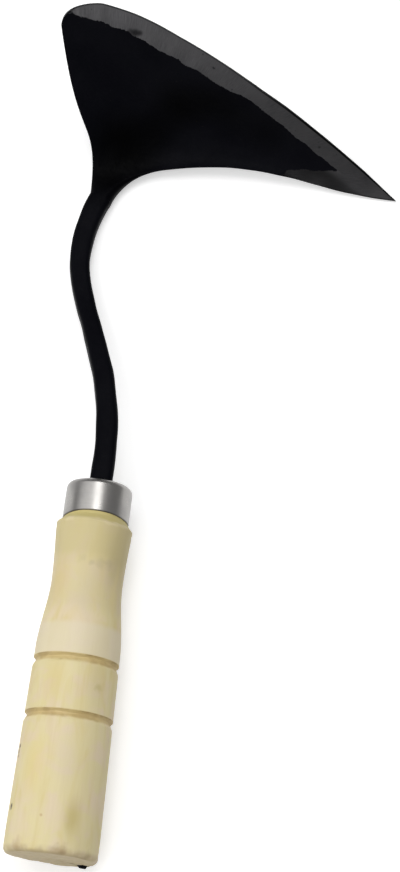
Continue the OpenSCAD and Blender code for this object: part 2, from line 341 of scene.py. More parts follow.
def clinched_end():
    """Rings of the clinched end and of the tang, from the butt to the ferrule's mouth."""
    turned_by = math.radians(CLINCH_ANGLE - HEAD_ROLL)
    outward = np.array([math.cos(turned_by), 0, -math.sin(turned_by)])
    beside = np.array([math.sin(turned_by), 0, math.cos(turned_by)])

    def ring(middle, turn, size):
        forward = outward * math.cos(turn) + np.array([0, math.sin(turn), 0])
        return bar_ring(middle, outward[0] * forward - outward[2] * beside,
                        outward[2] * forward + outward[0] * beside, size, 2)

    # The tip is blunt over a sixth of the clinched end, and behind it the end goes down into the wood
    rings = []
    for t in np.linspace(0, 1, 12, endpoint=False):
        blunt = 1 - 0.2 * (1 - min(1, t * 6)) ** 2
        size = mix(TANG_TIP_D, TANG_END_D, t) * blunt
        dip = CLINCH_DIP * ease((t - 0.16) / 0.25)
        sunk = np.array([0, dip - CLINCH_PROUD + size / 2, 0])
        rings.append(ring(outward * mix(CLINCH_REACH, CLINCH_BEND_R, t) + sunk, math.pi / 2, size))
    deep = CLINCH_DIP - CLINCH_PROUD + TANG_END_D / 2 + CLINCH_BEND_R
    corner = outward * CLINCH_BEND_R + np.array([0, deep, 0])
    for turn in np.linspace(math.pi / 2, 0, 12):
        forward = outward * math.cos(turn) + np.array([0, math.sin(turn), 0])
        rings.append(ring(corner - forward * CLINCH_BEND_R, turn, TANG_END_D))
    for t in np.linspace(0, 1, 9)[1:]:
        middle = np.array([0, mix(deep, HANDLE_LEN, t), 0])
        rings.append(bar_ring(middle, np.array([1, 0, 0]), np.array([0, 0, 1]),
                              mix(TANG_END_D, NECK_D, t), mix(2, BAR_SQUARENESS, t)))
    return rings


def neck():
    """Rings of the neck, from the ferrule to the root of the blade."""
    rings = []
    skin = bar_skin(BAR_SQUARENESS)
    for s in np.linspace(0, 1, NECK_ROWS, endpoint=False):
        middle = neck_middle(s)
        ahead = neck_middle(s + 0.01) - middle
        right = np.array([ahead[1], -ahead[0]]) / np.linalg.norm(ahead)
        if s < 0.5:
            width = depth = mix(NECK_D, NECK_MID_D, ease(2 * s))
        else:
            late = 2 * s - 1
            width = mix(NECK_MID_D, ROOT_W, late**2)
            depth = mix(NECK_MID_D, ROOT_THICK, ease(late))
        row = middle + right * section_c[:, None] * width / 2
        rings.append(on_sheet(row, skin * depth / 2))
    return rings


# Width that the grinder took off along the outer edge, at shares of the way from the heel to the tip
GROUND_WIDTHS = (
    (0, 0), (0.04, 0.1), (0.052, 1.0), (0.067, 3.3), (0.082, 5.2), (0.092, 6.1), (0.110, 6.7), (0.132, 6.9),
    (0.182, 6.7), (0.205, 7.2), (0.230, 7.5), (0.255, 7.9), (0.280, 8.4), (0.305, 8.0), (0.327, 7.6),
    (0.355, 8.4), (0.377, 7.8), (0.477, 7.8), (0.500, 7.1), (0.522, 6.4), (0.542, 5.6), (0.570, 6.0),
    (0.625, 6.6), (0.652, 6.8), (0.712, 7.8), (0.735, 7.3), (0.770, 8.2), (0.827, 8.6), (1, 9.6),
)

# Width that it took off under the tip, at shares of the way from the root to the tip
UNDER_WIDTHS = (
    (0.58, -1), (0.61, 1.0), (0.66, 3.0), (0.69, 4.4), (0.775, 6.6), (0.85, 7.8), (0.92, 8.9), (1, 9.4),
)
WIDEST_UNDER = UNDER_WIDTHS[-1][1]

# How far the outer edge swells out, at shares of the way from the heel to the tip
SWELLS = (
    (0.1, 0), (0.16, 0.35), (0.20, 0.55), (0.25, 0.45), (0.32, 0.1), (0.55, 0), (0.62, 0.4), (0.78, 0.35),
    (0.9, 0),
)

# The blade's rows: up to the grinder's border, over the ground strip, and then the dark line along the
# cutting edge, the edge on top and the edge underneath
BORDER_ROWS = 150
STRIP_ROWS = 24
LINE, EDGE, UNDER_EDGE = 3, 4, 5
BLADE_ROWS = np.concatenate([np.linspace(0, 1, BORDER_ROWS), np.linspace(1, 2, STRIP_ROWS + 1)[1:],
                             [LINE, EDGE, UNDER_EDGE]])

# Distance inside the ground marks that the neck and tang, and the blade's underside, are given
NOT_GROUND = -40
UNDERSIDE = -5


def blade_point(u, t):
    """A point of the patch between the root, the left side, the lower edge and the outer edge."""
    left = bezier(left_side, t)
    lower = lower_side(t)
    outer = outer_side(u)
    u = np.asarray(u)[..., None]
    t = np.asarray(t)[..., None]
    return mix(left, lower, u) + t * (outer - mix(heel, tip, u))


def half_thickness(row, t, width):
    """Half the blade's thickness, with the spine that runs on from the neck and the rounded sides."""
    from_root = row - root
    along = from_root @ heading(ROOT_HEADING)
    beside = from_root @ across_heading(ROOT_HEADING)
    spine = (ROOT_THICK - PLATE_THICK) * (1 - ease(along / SPINE_LEN)) / (1 + (beside / SPINE_SPREAD) ** 4)
    from_side = np.minimum(section_u, 1 - section_u) * width
    round_r = mix(SIDE_ROUND, ROOT_SIDE_ROUND, 1 - ease(t / 0.3))
    rounded = np.sqrt(np.clip(1 - (1 - np.clip(from_side / round_r, 0, 1)) ** 2, 0, 1))
    return (SIDE_FLAT + (1 - SIDE_FLAT) * rounded) * (PLATE_THICK + spine) / 2


def blade():
    """The blade's rings, and each point's distance inside the ground marks, polish and place in the grain."""
    rings, ground, finish, grain = [], [], [], []

    # Millimetres next to the outer edge become shares of the way to it by its reach
    reach = np.linalg.norm(outer_side(section_u) - blade_point(section_u, 0.9), axis=-1) / 0.1
    ground_w = between(section_u, GROUND_WIDTHS)
    tipward = ease((section_u - 0.4) / 0.3)
    border = 1 - ground_w / reach
    line = np.minimum(mix(THIN_LINE, THICK_LINE, tipward), LINE_SHARE * ground_w) / reach
    limit = 1 + between(section_u, SWELLS) / reach
    edge = mix(THIN_EDGE, THICK_EDGE, ease((section_u - 0.4) / 0.2))
    for step in BLADE_ROWS:
        if step <= 1:
            t = border * step
        elif step <= 2:
            t = mix(border, limit - line, step - 1)
        else:
            t = limit - 0.8 * line * (step == LINE)
        row = blade_point(section_u, t)
        width = np.linalg.norm(bezier(left_side, t) - lower_side(t), axis=-1)
        half = half_thickness(row, t, width)
        hollow = -DISH * 4 * section_u * (1 - section_u) * np.sin(math.pi * t)
        from_border = (t - border) * reach
        under = between(t, UNDER_WIDTHS) - (1 - section_u) * width * 0.5
        strip = np.clip((t - border) / np.maximum(1 - border, 1e-3), 0, 1)
        patch = np.clip(under / WIDEST_UNDER, 0, 1)
        cut = (PLATE_THICK - edge) * np.maximum(strip, patch)
        cut = np.where(section_up > 0, np.minimum(cut, 2 * half - LEAST_LEFT) * section_up, 0)
        blunted = EDGE_BLUNT * tipward * (step >= EDGE) + UNDER_BLUNT * (step == UNDER_EDGE)
        rings.append(on_sheet(row, hollow + section_up * half - cut - blunted * face_up))
        seen = face_up & (step < UNDER_EDGE) | (section_u < 0.5) & (step >= EDGE)
        ground.append(np.where(seen, np.maximum(from_border, under), UNDERSIDE))

        # The patch under the tip is dull, less so towards the tip, and the strip along the edge is polished
        dull = mix(0.08, 0.35, ease((t - 0.6) / 0.13)) + 0.50 * ease((t - 0.84) / 0.12)
        polish = mix(dull, 1, ease((from_border + 7) / 7))
        finish.append(mix(0.5, 0.06, tipward) if step >= LINE else polish)
        grain.append(np.stack([section_u * GRAIN_ACROSS, t * GRAIN_ALONG, 0 * t], axis=-1))
    return rings, ground, finish, grain


def new_mesh(name, points, faces, sharp_angle):
    """An object of points in millimetres, with edges that are sharp from an angle in degrees."""
    mesh = bpy.data.meshes.new(name)
    mesh.from_pydata((np.asarray(points) * MM).tolist(), [], [list(map(int, face)) for face in faces])
    mesh.validate()
    mesh.shade_smooth()
    mesh.set_sharp_from_angle(angle=math.radians(sharp_angle))
    piece = bpy.data.objects.new(name, mesh)
    bpy.context.scene.collection.objects.link(piece)
    return piece


def add_values(piece, name, values):
    attribute = piece.data.attributes.new(name, "FLOAT", "POINT")
    attribute.data.foreach_set("value", np.asarray(values, np.float32).ravel())


def add_vectors(piece, name, values):
    attribute = piece.data.attributes.new(name, "FLOAT_VECTOR", "POINT")
    attribute.data.foreach_set("vector", np.asarray(values, np.float32).ravel())


def within_box(points):
    """Keeps points inside the CAD model's box, but for the clinched end, which stands proud of the butt."""
    lowest, highest = np.array(cad_box) / MM
    lowest[1] = -CLINCH_PROUD
    return np.clip(points, lowest, highest)


def loft_faces(total):
    """Faces that join so many rings of the section, and close both ends."""
    n = len(section_c)
    i, k = np.meshgrid(np.arange(total - 1), np.arange(n), indexing="ij")
    a, b = i * n + k, i * n + (k + 1) % n
    faces = np.stack([a, a + n, b + n, b], axis=-1).reshape(-1, 4).tolist()
    faces.append(list(range(n)))

    # The blade's end is closed in narrow faces that join the top, from above on, to the points under it
    above = (total - 1) * n
    below = above + ACROSS + WALL
    for j in range(ACROSS):
        opposite = below + ACROSS - j
        faces.append([above + j, opposite, opposite - 1, above + j + 1])
    right_wall = [above + ACROSS + 1 + j for j in range(WALL - 1)]
    left_wall = [below + ACROSS + 1 + j for j in range(WALL - 1)]
    faces.append([above + ACROSS, below] + right_wall[::-1])
    faces.append([below + ACROSS, above] + left_wall[::-1])
    return faces


def make_head():
    """The head, one closed loft whose dints fade towards the cutting edge."""
    tang = np.array(clinched_end())
    bar = np.array(neck())
    plate, ground, finish, grain = (np.array(values) for values in blade())
    outward = bar - bar.mean(axis=1, keepdims=True)
    outward /= np.linalg.norm(outward, axis=-1, keepdims=True)
    bar += outward * waves(bar, DINT_LEN, DINT_SEED)[..., None] * DINT_DEEP
    fade = np.interp(np.arange(len(plate)), (BORDER_ROWS - 1, len(plate) - 1), (1, 0.25))
    plate[..., 2] += waves(plate, DINT_LEN, DINT_SEED) * DINT_DEEP * fade[:, None]
    rings = within_box(rolled(np.concatenate([tang, bar, plate])))
    piece = new_mesh("forged_head_piece", rings.reshape(-1, 3), loft_faces(len(rings)), 38)

    # The tang and the neck have neither polish nor grain
    plain = np.zeros((len(tang) + len(bar), rings.shape[1], 3))
    add_values(piece, "ground", np.concatenate([plain[..., 0] + NOT_GROUND, ground]))
    add_values(piece, "finish", np.concatenate([plain[..., 0], finish]))
    add_vectors(piece, "grain", np.concatenate([plain, grain]))
    return piece


def grip_r(y):
    """Radius of the wood at a distance from the butt face, without the grooves: barrel, hollow, swelling."""
    def share(start, end):
        return np.clip((y - start) / (end - start), 0, 1)

    barrel = mix(BUTT_D, BARREL_D, share(TAPER_FROM, BARREL_END) ** BARREL_POWER) / 2
    hollow = mix(BARREL_D, WAIST_D, ease(share(BARREL_END, WAIST_AT))) / 2
    swelling = mix(WAIST_D, COLLAR_D, share(WAIST_AT, COLLAR_AT) ** SWELLING_POWER) / 2
    shoulder = mix(COLLAR_D / 2, SHOULDER_R, share(COLLAR_AT, SHOULDER_AT))
    return np.select([y < BARREL_END, y < WAIST_AT, y < COLLAR_AT], [barrel, hollow, swelling], shoulder)


def groove_depth(y):
    """Depth of the grooves: a slope from the butt's side over 0.62 of the width, and a steeper wall."""
    depth = 0
    for middle in GROOVES_AT:
        across = (y - middle) / GROOVE_W
        slope = np.clip((across + 0.5) / 0.62, 0, 1) ** 1.2
        steep = np.clip((0.5 - across) / 0.22, 0, 1)
        depth = depth + GROOVE_DEEP * np.minimum(slope, steep)
    return depth


def arc(middle_r, middle_y, radius, start, end, count):
    """Points of an outline on an arc, whose angles are in degrees from straight out of the axis."""
    return [(middle_r + radius * math.cos(a), middle_y + radius * math.sin(a))
            for a in np.radians(np.linspace(start, end, count))]


def wood_outline():
    """The turned outline of the wood, as radius and distance from the butt face, with its grooves."""
    face = [(r, FACE_AT) for r in np.linspace(0.4, BUTT_D / 2 - BUTT_ROUND - 0.4, 16)]
    rim = arc(BUTT_D / 2 - BUTT_ROUND, FACE_AT + BUTT_ROUND, BUTT_ROUND, -90, 0, 9)

    # Points lie close together in the grooves and at the shoulder, and about 1 mm apart elsewhere
    fine = list(np.arange(GRIP_LEN - 6, GRIP_LEN - 0.1, 0.25))
    for middle in GROOVES_AT:
        fine += list(np.linspace(middle - 2, middle + 2, 41))
    rough = [y for y in np.arange(3, GRIP_LEN - 6.2, 1.1)
             if all(abs(y - middle) > 2.1 for middle in GROOVES_AT)]
    length = np.array(sorted(fine + rough))
    radius = grip_r(length) - groove_depth(length)
    end = [(SHOULDER_R - 0.2, GRIP_LEN), (SPIGOT_R, GRIP_LEN), (SPIGOT_R, WOOD_END - SPIGOT_CHAMFER),
           (SPIGOT_R - SPIGOT_CHAMFER, WOOD_END), (NECK_D * 0.75, WOOD_END)]
    return face + rim + list(zip(radius, length)) + end


def turned(outline, around, closed):
    """Points and faces of an outline of radius and distance, turned about the handle's axis."""
    outline = np.array(outline, float)
    angles = np.linspace(0, 2 * math.pi, around, endpoint=False)
    radius = outline[:, 0][:, None]
    points = np.stack([radius * np.cos(angles), np.repeat(outline[:, 1][:, None], around, 1),
                       radius * np.sin(angles)], axis=-1)
    rows = len(outline)
    i, k = np.meshgrid(np.arange(rows if closed else rows - 1), np.arange(around), indexing="ij")
    j, m = (i + 1) % rows, (k + 1) % around
    faces = np.stack([i * around + k, j * around + k, j * around + m, i * around + m], axis=-1)
    faces = faces.reshape(-1, 4).tolist()
    if not closed:
        faces.append(list(range(around)))
        faces.append([(rows - 1) * around + k for k in reversed(range(around))])
    return points, faces


def make_handle():
    """The handle, turned and then whittled, worn and cut open for the clinched end."""
    points, faces = turned(wood_outline(), HANDLE_AROUND, closed=False)
    y = points[..., 1]
    outward = points * np.array([1, 0, 1])
    outward /= np.maximum(np.linalg.norm(outward, axis=-1, keepdims=True), 1e-6)
    out_of_round = waves(points * np.array([1, 0.35, 1]), length=26, seed=11)
    flats = waves(outward * 20, length=16, seed=23)
    lumps = waves(points, length=5.5, seed=31)

    # The whittled shoulder, whose soft corner lies further forward towards the left
    shoulder = ease((y - COLLAR_AT + 2.5) / 2.5) * ease((GRIP_LEN - 0.8 - y) / 1.2)
    leftward = np.clip(0.35 - 0.65 * outward[..., 0], 0, 1)
    corner = np.clip(np.minimum((y - COLLAR_AT) / 1.1, (SHOULDER_AT - y) / 2.0), 0, 1)
    lip = np.exp(-(((y - COLLAR_AT - 0.4 * flats - leftward) / 0.5) ** 2))
    swell = (out_of_round - 1) * OUT_OF_ROUND + (flats - 0.45) * FLATS_DEEP * shoulder
    swell += CORNER_OUT * leftward * corner + LIP_OUT * lip

    # The worn rim of the butt, and the bulge of the wood beside the clinched end
    worn = np.clip(1 - (y - FACE_AT) / WORN_LEN, 0, 1) ** 2
    low_left = np.clip(outward @ LOW_LEFT, 0, 1)
    clinch_side = ease((outward @ CLINCH_SIDE - 0.62) / 0.36)
    swell += BULGE_OUT * clinch_side * np.clip(1 - (y - FACE_AT) / BULGE_LEN, 0, 1) ** 2
    swell -= worn * (RIM_WORN + LOW_LEFT_WORN * low_left + LUMPS_DEEP * lumps)

    on_grip = (y > FACE_AT + 0.05) & (y < GRIP_LEN - 0.05)
    points = points + outward * (swell * on_grip)[..., None]
    near_groove = sum(np.exp(-(((y - middle) / GROOVE_W) ** 2)) for middle in GROOVES_AT)
    off_axis = np.linalg.norm(points * np.array([1, 0, 1]), axis=-1) / (BUTT_D / 2)
    points[..., 1] += (flats - 0.5) * GROOVE_WANDER * near_groove
    points[..., 1] += FACE_WORN * worn * (low_left * off_axis + (1 + lumps) * off_axis**2)
    points[..., 1] -= BULGE_PROUD * worn * clinch_side * ease((off_axis - 0.3) / 0.5)
    piece = new_mesh("handle_piece", within_box(points).reshape(-1, 3), faces, 40)
    cut_tang_slot(piece)
    return piece


def cut_tang_slot(piece):
    """Cuts the pocket at the clinched end's tip, and the crack that closes over the rest of it."""
    turned_by = math.radians(CLINCH_ANGLE)
    outward = Vector((math.cos(turned_by), 0, -math.sin(turned_by)))
    beside = Vector((math.sin(turned_by), 0, math.cos(turned_by)))
    faces = [(0, 1, 3, 2), (4, 6, 7, 5), (0, 2, 6, 4), (1, 5, 7, 3), (0, 4, 5, 1), (2, 3, 7, 6)]
    for start, end, width, deep, shift in (CRACK, POCKET):
        corners = [outward * at + beside * (side * width / 2 + shift) + Vector((0, y, 0))
                   for at in (start, end) for y in (-2, deep) for side in (-1, 1)]
        cutter = new_mesh("cutter", [tuple(corner) for corner in corners], faces, 30)
        cut = piece.modifiers.new("cut", "BOOLEAN")
        cut.object = cutter
        cut.operation = "DIFFERENCE"
        cut.solver = "EXACT"
        apply_modifiers(piece)
        bpy.data.objects.remove(cutter)


def apply_modifiers(piece):
    depsgraph = bpy.context.evaluated_depsgraph_get()
    mesh = bpy.data.meshes.new_from_object(piece.evaluated_get(depsgraph))
    piece.modifiers.clear()
    piece.data = mesh


def make_ferrule():
    """The ferrule, a tube whose front edge is rolled in to the neck."""
    outer = FERRULE_D / 2
    inner = outer - FERRULE_WALL
    roll_inner = MOUTH_ROUND - FERRULE_WALL
    roll_start = FERRULE_LEN - MOUTH_ROUND
    outline = [(inner, RIM_ROUND / 2), (inner + RIM_ROUND / 2, 0)]
    outline += arc(outer - RIM_ROUND, RIM_ROUND, RIM_ROUND, -90, 0, 6)
    outline += [(outer, y) for y in np.linspace(0.8, roll_start - 0.3, 12)]
    outline += arc(outer - MOUTH_ROUND, roll_start, MOUTH_ROUND, 0, 90, 16)
    outline += [(inner - roll_inner, FERRULE_LEN - FERRULE_WALL)]
    outline += arc(inner - roll_inner, roll_start, roll_inner, 75, 0, 6)
    outline += [(inner, y) for y in np.linspace(roll_start - 0.5, 0.8, 4)]
    points, faces = turned([(r, y + GRIP_LEN) for r, y in outline], FERRULE_AROUND, closed=True)

    # The rear edge droops at the sides, and shallow dents deepen towards the mouth
    angle = np.arctan2(points[..., 2], points[..., 0])
    share = np.clip((points[..., 1] - GRIP_LEN) / FERRULE_LEN, 0, 1)
    points[..., 1] -= RIM_DROOP * np.cos(angle) ** 2 * np.clip(1 - 3 * share, 0, 1)
    dent = LONG_DENT * (1 - np.sin(3 * angle + 0.6)) + SHORT_DENT * (1 - np.sin(7 * angle + 2))
    points[..., ::2] *= (1 - dent * share**3 / outer)[..., None]
    return new_mesh("ferrule_piece", points.reshape(-1, 3), faces, 40)


# Width of the wood's stains, as a share of their length along the handle
STAIN_SQUEEZE = 0.45


class Nodes:
    """A material's or world's node tree, with short calls to add and join nodes."""

    def __init__(self, tree):
        self.tree = tree
        self.tree.nodes.clear()

    def add(self, kind, values=(), **settings):
        node = self.tree.nodes.new(kind)
        for name, value in settings.items():
            setattr(node, name, value)
        for socket, value in dict(values).items():
            if isinstance(value, bpy.types.NodeSocket):
                self.tree.links.new(value, node.inputs[socket])
            else:
                node.inputs[socket].default_value = value
        return node

    def position(self):
        return self.add("ShaderNodeTexCoord").outputs["Object"]

    def attribute(self, name, output):
        return self.add("ShaderNodeAttribute", attribute_name=name).outputs[output]

    def split(self, vector):
        return self.add("ShaderNodeSeparateXYZ", {"Vector": vector}).outputs

    def scaled(self, vector, scale):
        return self.add("ShaderNodeMapping", {"Vector": vector, "Scale": scale}).outputs["Vector"]

    def moved(self, vector, by):
        return self.add("ShaderNodeMapping", {"Vector": vector, "Location": by}).outputs["Vector"]

    def millimetres(self, position):
        """X, Y and Z of a position, in millimetres."""
        return self.split(self.scaled(position, (1 / MM, 1 / MM, 1 / MM)))

    def noise(self, vector, scale, detail=3.0, roughness=0.5, distortion=0.0):
        values = {"Vector": vector, "Scale": scale, "Detail": detail, "Roughness": roughness,
                  "Distortion": distortion}
        return self.add("ShaderNodeTexNoise", values).outputs["Fac"]

    def math(self, operation, a, b=0.0):
        return self.add("ShaderNodeMath", {0: a, 1: b}, operation=operation).outputs[0]

    def plus(self, a, b):
        return self.math("ADD", a, b)

    def minus(self, a, b):
        return self.math("SUBTRACT", a, b)

    def times(self, a, b):
        return self.math("MULTIPLY", a, b)

    def swing(self, noise, amount):
        """A noise as a value that swings about 0."""
        return self.times(self.minus(noise, 0.5), amount)

    def range(self, value, low, high, to_low=0.0, to_high=1.0):
        values = {"Value": value, "From Min": low, "From Max": high, "To Min": to_low, "To Max": to_high}
        return self.add("ShaderNodeMapRange", values, interpolation_type="SMOOTHSTEP").outputs["Result"]

    def band(self, value, low, full, fading, high):
        """0 up to low, 1 from full to fading, and 0 again from high."""
        return self.times(self.range(value, low, full), self.range(value, high, fading))

    def blend(self, share, a, b, kind="MIX"):
        return self.add("ShaderNodeMix", {0: share, 6: a, 7: b}, data_type="RGBA", blend_type=kind).outputs[2]

    def tint(self, tone, mask, strength, shade):
        """A colour that turns to a shade where the mask is 1, with a strength."""
        return self.blend(self.times(mask, strength), tone, shade)

    def bump(self, height, distance):
        values = {"Height": height, "Distance": distance, "Strength": 1.0}
        return self.add("ShaderNodeBump", values).outputs["Normal"]

    def distance(self, vector, place):
        return self.add("ShaderNodeVectorMath", {0: vector, 1: place}, operation="DISTANCE").outputs["Value"]

    def spot(self, position, place, radius, soft, uneven=None):
        """1 at a place and 0 from a radius on, which fades over the share soft and can follow a noise."""
        away = self.distance(position, Vector(place) * MM)
        if uneven is not None:
            away = self.plus(away, self.swing(uneven, radius * 1.6 * MM))
        return self.range(away, radius * MM, radius * MM * (1 - soft))

    def stain(self, position, noise, place, radius):
        """A soft spot drawn out along the handle, whose border follows a noise."""
        squeeze = Vector((1, STAIN_SQUEEZE, 1))
        away = self.distance(self.scaled(position, squeeze), Vector(place) * squeeze * MM)
        return self.range(self.plus(away, self.swing(noise, radius * MM)), radius * MM, 0)

    def surface(self, values):
        """Joins a principled shader with these values to the material's output."""
        shader = self.add("ShaderNodeBsdfPrincipled", values)
        self.add("ShaderNodeOutputMaterial", {"Surface": shader.outputs[0]})


def colour(red, green, blue):
    """A colour as it shows on the screen, 0 to 255, in the renderer's linear values."""
    def linear(value):
        value /= 255
        return value / 12.92 if value <= 0.04045 else ((value + 0.055) / 1.055) ** 2.4
    return (linear(red), linear(green), linear(blue), 1)


def new_material(name):
    material = bpy.data.materials.new(name)
    material.use_nodes = True
    return material, Nodes(material.node_tree)


# Painted dark reflection: places along the blade's hollow, from the neck's root, where the black is darker:
# middle, radius and strength
PAINTED_DARK_REFLECTION = (
    ((-15.5, 267.7, -11.9), 18, 0.9), ((-11.2, 283.5, -6.3), 20, 0.9), ((-6.5, 277.4, -10.9), 18, 0.9),
    ((2.4, 287.7, -4.7), 16, 0.7), ((11.6, 295.5, 5.2), 16, 0.9), ((22.4, 296.7, 8.4), 14, 0.7),
    ((33.0, 293.0, 6.0), 14, 0.5), ((46.0, 289.0, 2.0), 14, 0.5),
)

# A nick and dark smudges on the ground steel: middle, radius and strength
NICKS = (
    ((67.9, 286.5, -1.4), 1.1, 1.0), ((-9.4, 311.0, 31.0), 2.0, 0.6), ((-7.4, 310.9, 30.8), 2.2, 0.8),
    ((-5.6, 311.0, 30.8), 1.6, 0.7),
)


def forged_iron():
    """Black forging scale, with the bright marks of the grinder along the outer edge and under the tip."""
    material, nodes = new_material("forged_iron")
    position = nodes.position()

    # These colours are linear, because the screen's steps are too coarse for the black scale
    broad = nodes.noise(position, 55)
    flecks = nodes.noise(position, 700, 4, 0.6)
    black = nodes.blend(nodes.range(broad, 0.35, 0.65),
                        (0.0024, 0.0025, 0.0040, 1), (0.0034, 0.0035, 0.0052, 1))
    black = nodes.blend(nodes.range(flecks, 0.6, 0.8, 0, 0.5), black, (0.0044, 0.0044, 0.0056, 1))
    # Painted dark reflection: a darker black along the hollow of the blade
    for place_mm, radius, strength in PAINTED_DARK_REFLECTION:
        dark_reflection = nodes.spot(position, place_mm, radius, 1.0)
        black = nodes.tint(black, dark_reflection, strength, (0.0002, 0.0002, 0.0003, 1))

    # Bright where the distance inside the grinder's border, frayed by two noises, is above 0
    frayed = nodes.plus(nodes.swing(nodes.noise(position, 300, 2), 1.8),
                        nodes.swing(nodes.noise(position, 1300), 0.9))
    bright = nodes.range(nodes.plus(nodes.attribute("ground", "Fac"), frayed), -0.08, 0.14)

    grain = nodes.attribute("grain", "Vector")
    scratches = nodes.noise(nodes.scaled(grain, (9, 0.35, 1)), 1.0, 4, 0.6)
    patches = nodes.noise(position, 60)
    steel = nodes.blend(nodes.range(patches, 0.35, 0.65), (0.072, 0.071, 0.075, 1), (0.093, 0.091, 0.095, 1))
    steel = nodes.blend(nodes.range(scratches, 0.35, 0.7), steel, (0.109, 0.107, 0.111, 1))

    # The steel is darker near the heel and towards the tip, and where it is less polished
    from_heel = nodes.split(grain)["X"]
    shade = nodes.times(nodes.range(from_heel, 20, 80, 1.0, 0.62), nodes.range(from_heel, 4, 18, 0.56, 1.0))
    shade = nodes.times(nodes.attribute("finish", "Fac"), shade)
    shade = nodes.add("ShaderNodeCombineColor", {0: shade, 1: shade, 2: shade}).outputs[0]
    steel = nodes.blend(1.0, steel, shade, "MULTIPLY")
    pits = nodes.range(nodes.noise(position, 300), 0.69, 0.77)
    steel = nodes.tint(steel, pits, 0.7, (0.012, 0.012, 0.014, 1))
    for place_mm, radius, strength in NICKS:
        nick = nodes.spot(position, place_mm, radius, 0.8)
        steel = nodes.tint(steel, nick, strength, (0.004, 0.004, 0.005, 1))

    dints = nodes.noise(position, 160, 2)
    pitted = nodes.noise(position, 1500, 3, 0.6)
    rough_skin = nodes.plus(dints, nodes.times(pitted, 0.12))
    relief = nodes.blend(bright, rough_skin, nodes.times(scratches, 0.05))
    nodes.surface({
        "Base Color": nodes.blend(bright, black, steel),
        "Metallic": nodes.times(bright, 0.9),
        "Roughness": nodes.range(flecks, 0.3, 0.7, 0.40, 0.52),
        "Specular IOR Level": 0.02,
        "Normal": nodes.bump(relief, 0.4 * MM),
    })
    return material


def brushed_steel():
    """Thin steel tube, spun and dulled, with grime and painted shade at its rear edge, in the joint to the
    wood.
    """
    material, nodes = new_material("brushed_steel")
    position = nodes.position()
    in_mm = nodes.millimetres(position)
    brushing = nodes.noise(nodes.scaled(position, (25, 3000, 25)), 1.0, 2)
    smudges = nodes.noise(position, 130)
    tone = nodes.blend(nodes.range(smudges, 0.35, 0.7), colour(157, 155, 152), colour(147, 145, 143))
    tone = nodes.blend(nodes.range(brushing, 0.45, 0.75, 0, 0.3), tone, colour(143, 142, 141))
    # Grime and painted shade in the joint, following the rear edge where it droops
    droop = nodes.times(nodes.times(in_mm["X"], in_mm["X"]), RIM_DROOP / (FERRULE_D / 2) ** 2)
    joint_grime_and_shade = nodes.range(nodes.plus(in_mm["Y"], droop), GRIP_LEN + 0.7, GRIP_LEN + 0.1)
    tone = nodes.tint(tone, joint_grime_and_shade, 0.75, colour(84, 80, 74))
    nodes.surface({
        "Base Color": tone,
        "Metallic": 1.0,
        "Roughness": nodes.range(smudges, 0.3, 0.7, 0.27, 0.34),
        "Anisotropic": 0.5,
        "Tangent": nodes.add("ShaderNodeTangent", direction_type="RADIAL", axis="Y").outputs["Tangent"],
        "Normal": nodes.bump(brushing, 0.0015 * MM),
    })
    return material


# Broad stains of the wood: middle, radius across, strength and colour
WOOD_STAINS = (
    ((-9.5, 97.5, 9.0), 6.5, 0.40, (214, 184, 124)), ((11.0, 108.5, 8.0), 7.0, 0.50, (166, 150, 94)),
    ((1.5, 96.0, 13.2), 7.5, 0.65, (209, 196, 168)), ((-8.5, 30.0, 13.8), 6.5, 0.55, (222, 203, 138)),
    ((2.0, 33.0, 16.2), 6.0, 0.55, (218, 203, 172)), ((7.0, 13.0, 15.0), 4.5, 0.60, (188, 170, 104)),
    ((-6.0, 61.0, 14.4), 6.0, 0.35, (210, 188, 118)), ((9.0, 62.0, 12.8), 6.0, 0.40, (206, 192, 152)),
    ((-11.0, 8.0, 12.2), 7.0, 0.40, (226, 211, 178)), ((12.5, 113.0, 7.0), 15.0, 0.55, (172, 158, 118)),
    ((4.0, -1.0, 16.6), 5.0, 0.50, (226, 212, 184)), ((6.0, 0, -7.0), 12.0, 0.50, (164, 148, 110)),
)

# Small marks on the wood, and painted shade in and beside the pocket at the clinched end's tip: place on its
# surface, radius, strength and colour
WOOD_MARKS_AND_SHADE = (
    ((-15.6, 37.2, 5.6), 1.3, 0.9, (74, 62, 40)), ((-15.8, 35.4, 5.2), 1.3, 0.9, (80, 66, 42)),
    ((-15.4, 33.6, 5.4), 1.0, 0.7, (110, 92, 60)), ((-15.4, 15.8, 6.6), 1.6, 1.0, (50, 40, 28)),
    ((-3.6, 12.7, 16.3), 0.9, 0.5, (176, 132, 92)), ((10.5, 60.0, 11.9), 2.6, 0.40, (178, 166, 92)),
    ((-11.1, 1.6, 12.6), 3.6, 0.40, (164, 132, 98)), ((3.6, 1.2, 16.2), 3.8, 0.38, (150, 122, 86)),
    ((5.6, 0.9, 15.6), 1.9, 0.35, (136, 106, 72)), ((13.8, 0.7, 9.5), 3.2, 0.45, (140, 116, 88)),
    ((-2.0, 105.6, 13.2), 2.4, 0.12, (150, 138, 112)), ((1.6, 104.6, 13.1), 1.6, 0.20, (140, 130, 110)),
    ((5.0, 104.8, 12.2), 2.8, 0.15, (146, 134, 110)), ((7.8, 105.2, 10.6), 2.4, 0.15, (146, 134, 110)),
    # Painted shade in and beside the pocket at the clinched end's tip
    ((10.9, 0, -6.8), 2.2, 0.9, (58, 54, 46)), ((11.4, 0, -11.6), 2.2, 0.9, (52, 48, 42)),
    ((4.0, 0, -5.2), 1.6, 0.4, (140, 118, 84)), ((7.5, 0, -5.6), 1.8, 0.5, (120, 102, 74)),
)


